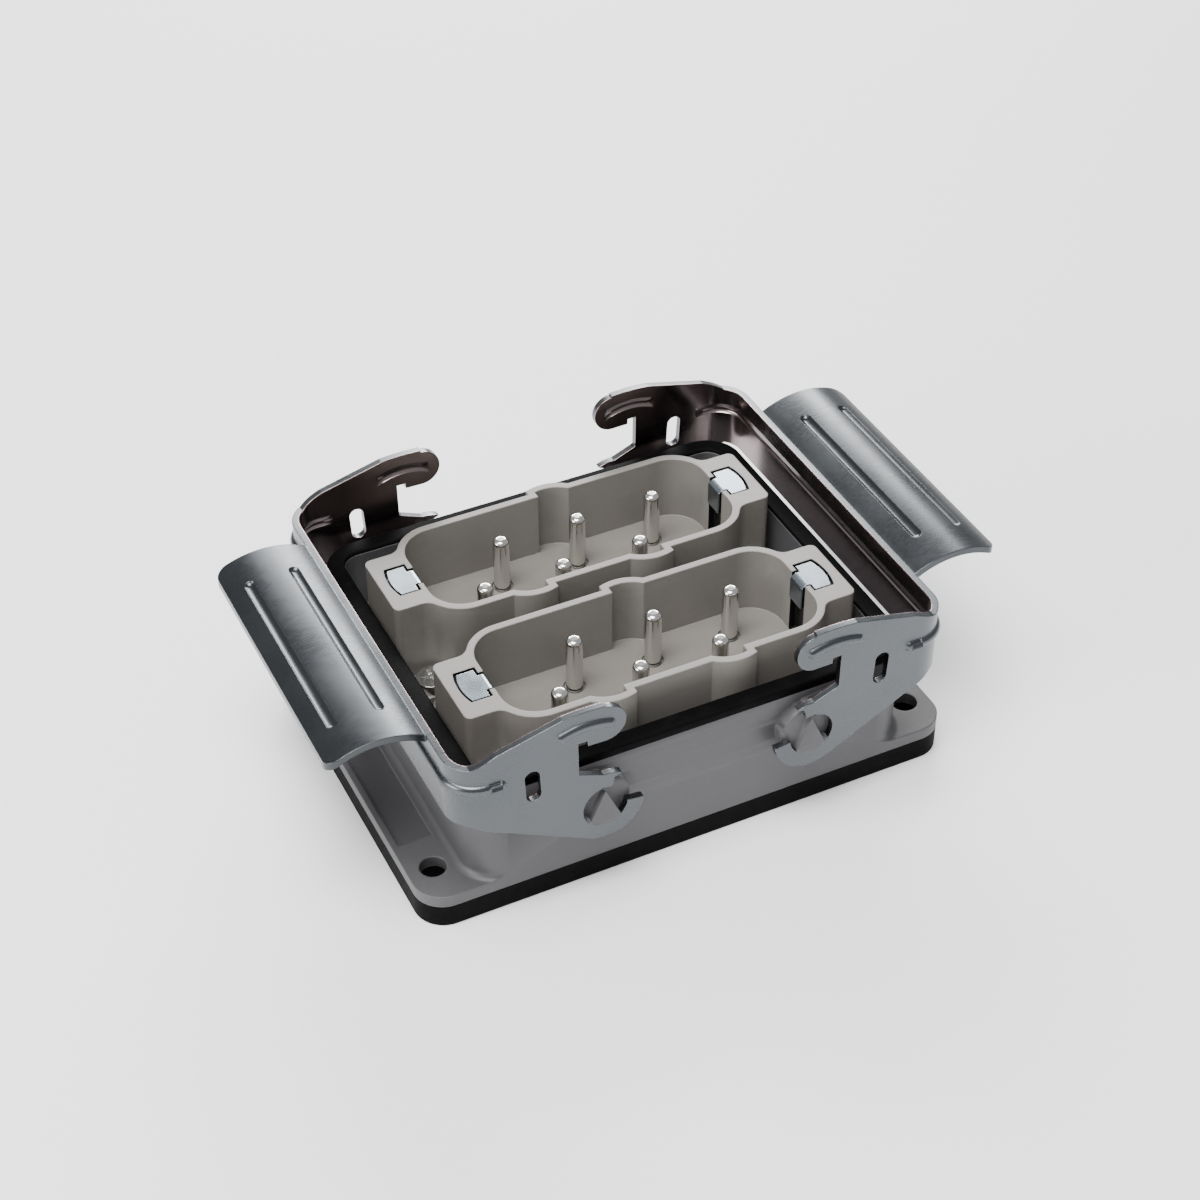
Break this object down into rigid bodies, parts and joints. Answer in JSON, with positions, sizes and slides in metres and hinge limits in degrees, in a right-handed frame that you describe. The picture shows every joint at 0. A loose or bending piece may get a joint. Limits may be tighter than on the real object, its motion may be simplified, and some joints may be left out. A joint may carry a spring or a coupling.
{
  "type": "heavy duty rectangular connector",
  "caption": "Bulkhead half of a rectangular power connector: cast housing with two pin inserts, rim and base gaskets, and two sheet steel locking levers.",
  "frame": {"origin": "centre of the base gasket's underside", "axes": "+X along the two inserts, +Y across them towards the back insert, +Z out of the panel"},
  "size_m": [0.1492, 0.095, 0.0497],
  "materials": {
    "cast_housing": "grey powder-coated die-casting",
    "gasket_rubber": "matt black elastomer",
    "insert_plastic": "beige-grey glass-filled plastic",
    "contact_metal": "silver-plated copper alloy, polished",
    "clip_metal": "bright plated sheet",
    "screw_steel": "zinc-plated",
    "lever_steel": "stainless sheet, satin"
  },
  "bodies": {
    "housing": {"housing": "cast_housing", "base_gasket": "gasket_rubber", "rim_gasket": "gasket_rubber", "insert_back": "insert_plastic", "insert_front": "insert_plastic", "contact_back_1": "contact_metal", "contact_back_2": "contact_metal", "contact_back_3": "contact_metal", "contact_back_4": "contact_metal", "contact_back_5": "contact_metal", "contact_back_6": "contact_metal", "contact_front_1": "contact_metal", "contact_front_2": "contact_metal", "contact_front_3": "contact_metal", "contact_front_4": "contact_metal", "contact_front_5": "contact_metal", "contact_front_6": "contact_metal", "earth_clip_back_left": "clip_metal", "earth_clip_back_right": "clip_metal", "earth_clip_front_left": "clip_metal", "earth_clip_front_right": "clip_metal", "fixing_screws": "screw_steel", "terminal_screws_back": "screw_steel", "terminal_screws_front": "screw_steel"},
    "lever_left": {"lever_left": "lever_steel"},
    "lever_right": {"lever_right": "lever_steel"}
  },
  "joints": [
    {"name": "lever_left_hinge", "type": "hinge", "parent": "housing", "child": "lever_left", "pos_m": [-0.0232, 0, 0.0233], "axis": [0, -1, 0], "range_deg": [0, 32]},
    {"name": "lever_right_hinge", "type": "hinge", "parent": "housing", "child": "lever_right", "pos_m": [0.0232, 0, 0.0233], "axis": [0, 1, 0], "range_deg": [0, 32]}
  ]
}
